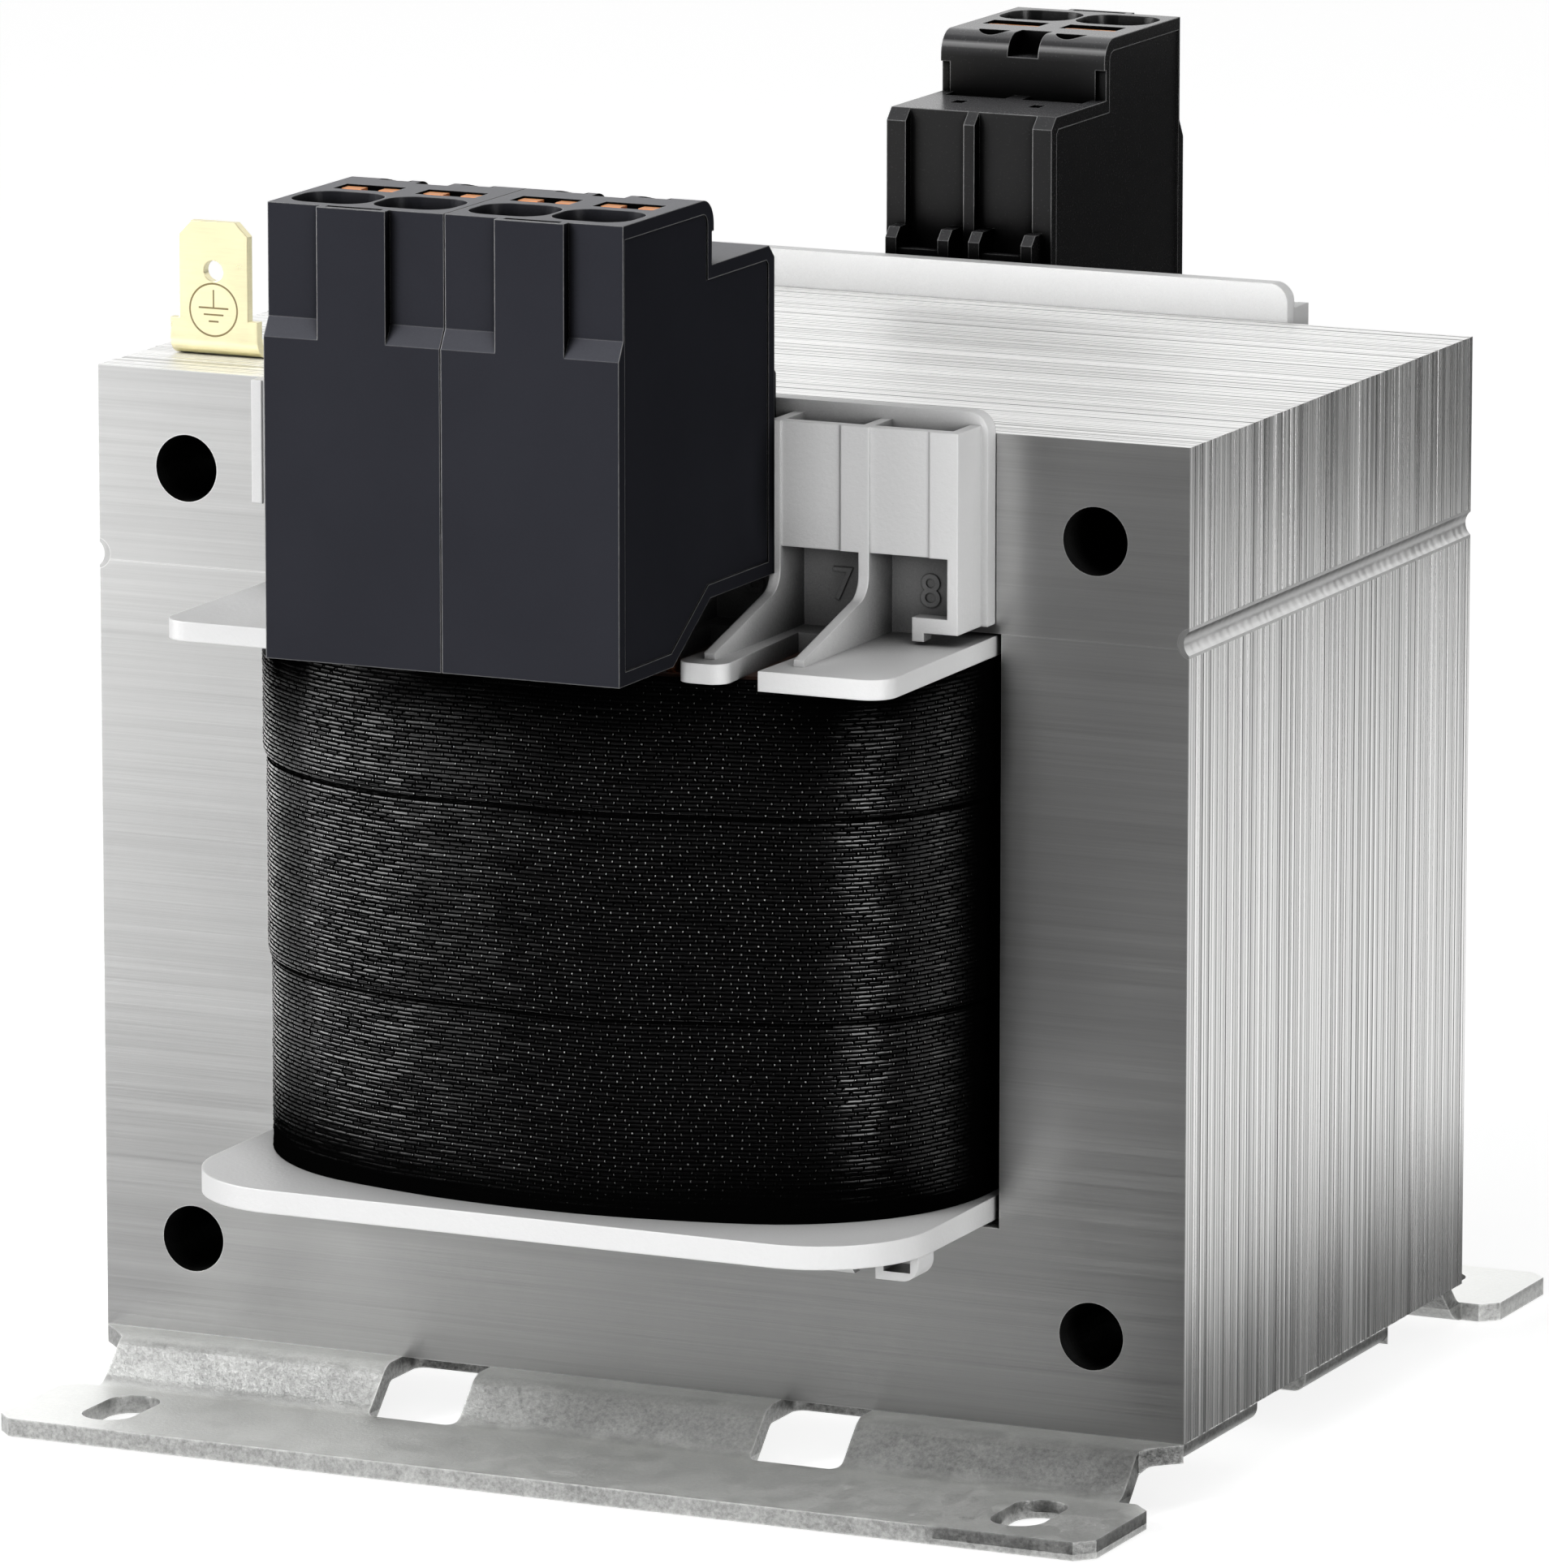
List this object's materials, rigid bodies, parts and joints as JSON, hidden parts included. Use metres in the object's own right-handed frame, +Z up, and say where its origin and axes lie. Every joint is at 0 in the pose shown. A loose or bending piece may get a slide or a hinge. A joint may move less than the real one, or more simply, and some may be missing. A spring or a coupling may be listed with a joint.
{
  "type": "isolation transformer",
  "caption": "Open-frame isolation transformer: welded lamination core, taped coil on a white bobbin, push-in terminal blocks, slotted feet and an earth tab.",
  "frame": {"origin": "on the mounting plane, under the centre of the core", "axes": "+Z up, X along the core's width, Y through the core's stack; the two-block end is at -Y"},
  "size_m": [0.0966, 0.1288, 0.1049],
  "materials": {
    "lamination_steel": "ground silicon steel edges, layered",
    "weld_steel": "smooth weld bead",
    "galvanised_steel": "zinc plated sheet",
    "white_nylon": "fine grained moulding",
    "charcoal_nylon": "satin moulding",
    "orange_nylon": "satin moulding",
    "black_tape": "glossy woven tape",
    "insulation_film": "polyester film",
    "copper_wire": "enamelled copper",
    "tinned_copper": "tin plated",
    "spring_steel": "polished spring leaf",
    "tab_brass": "rolled brass"
  },
  "bodies": {
    "root": {"e_lamination_stack": "lamination_steel", "i_lamination_stack": "lamination_steel", "weld_seam_left": "weld_steel", "weld_seam_right": "weld_steel", "foot_bracket_front": "galvanised_steel", "foot_bracket_rear": "galvanised_steel", "bobbin": "white_nylon", "primary_winding": "copper_wire", "winding_insulation": "insulation_film", "secondary_winding": "copper_wire", "outer_tape": "black_tape", "winding_leads_front": "copper_wire", "winding_leads_rear": "copper_wire", "earth_tab": "tab_brass", "terminal_housing_front_left": "charcoal_nylon", "contact_bars_front_left": "tinned_copper", "clamp_springs_front_left": "spring_steel", "terminal_housing_front_right": "charcoal_nylon", "contact_bars_front_right": "tinned_copper", "clamp_springs_front_right": "spring_steel", "terminal_housing_rear": "charcoal_nylon", "contact_bars_rear": "tinned_copper", "clamp_springs_rear": "spring_steel"},
    "release_button_front_1": {"release_button_front_1": "orange_nylon"},
    "release_button_front_2": {"release_button_front_2": "orange_nylon"},
    "release_button_front_3": {"release_button_front_3": "orange_nylon"},
    "release_button_front_4": {"release_button_front_4": "orange_nylon"},
    "release_button_rear_1": {"release_button_rear_1": "orange_nylon"},
    "release_button_rear_2": {"release_button_rear_2": "orange_nylon"}
  },
  "joints": [
    {"name": "release_button_front_1_press", "type": "slide", "parent": "root", "child": "release_button_front_1", "axis": [0, 0, -1], "range_m": [0, 0.0015], "stiffness_N_per_m": 1500, "springref_m": -0.001},
    {"name": "release_button_front_2_press", "type": "slide", "parent": "root", "child": "release_button_front_2", "axis": [0, 0, -1], "range_m": [0, 0.0015], "stiffness_N_per_m": 1500, "springref_m": -0.001},
    {"name": "release_button_front_3_press", "type": "slide", "parent": "root", "child": "release_button_front_3", "axis": [0, 0, -1], "range_m": [0, 0.0015], "stiffness_N_per_m": 1500, "springref_m": -0.001},
    {"name": "release_button_front_4_press", "type": "slide", "parent": "root", "child": "release_button_front_4", "axis": [0, 0, -1], "range_m": [0, 0.0015], "stiffness_N_per_m": 1500, "springref_m": -0.001},
    {"name": "release_button_rear_1_press", "type": "slide", "parent": "root", "child": "release_button_rear_1", "axis": [0, 0, -1], "range_m": [0, 0.0015], "stiffness_N_per_m": 1500, "springref_m": -0.001},
    {"name": "release_button_rear_2_press", "type": "slide", "parent": "root", "child": "release_button_rear_2", "axis": [0, 0, -1], "range_m": [0, 0.0015], "stiffness_N_per_m": 1500, "springref_m": -0.001}
  ]
}
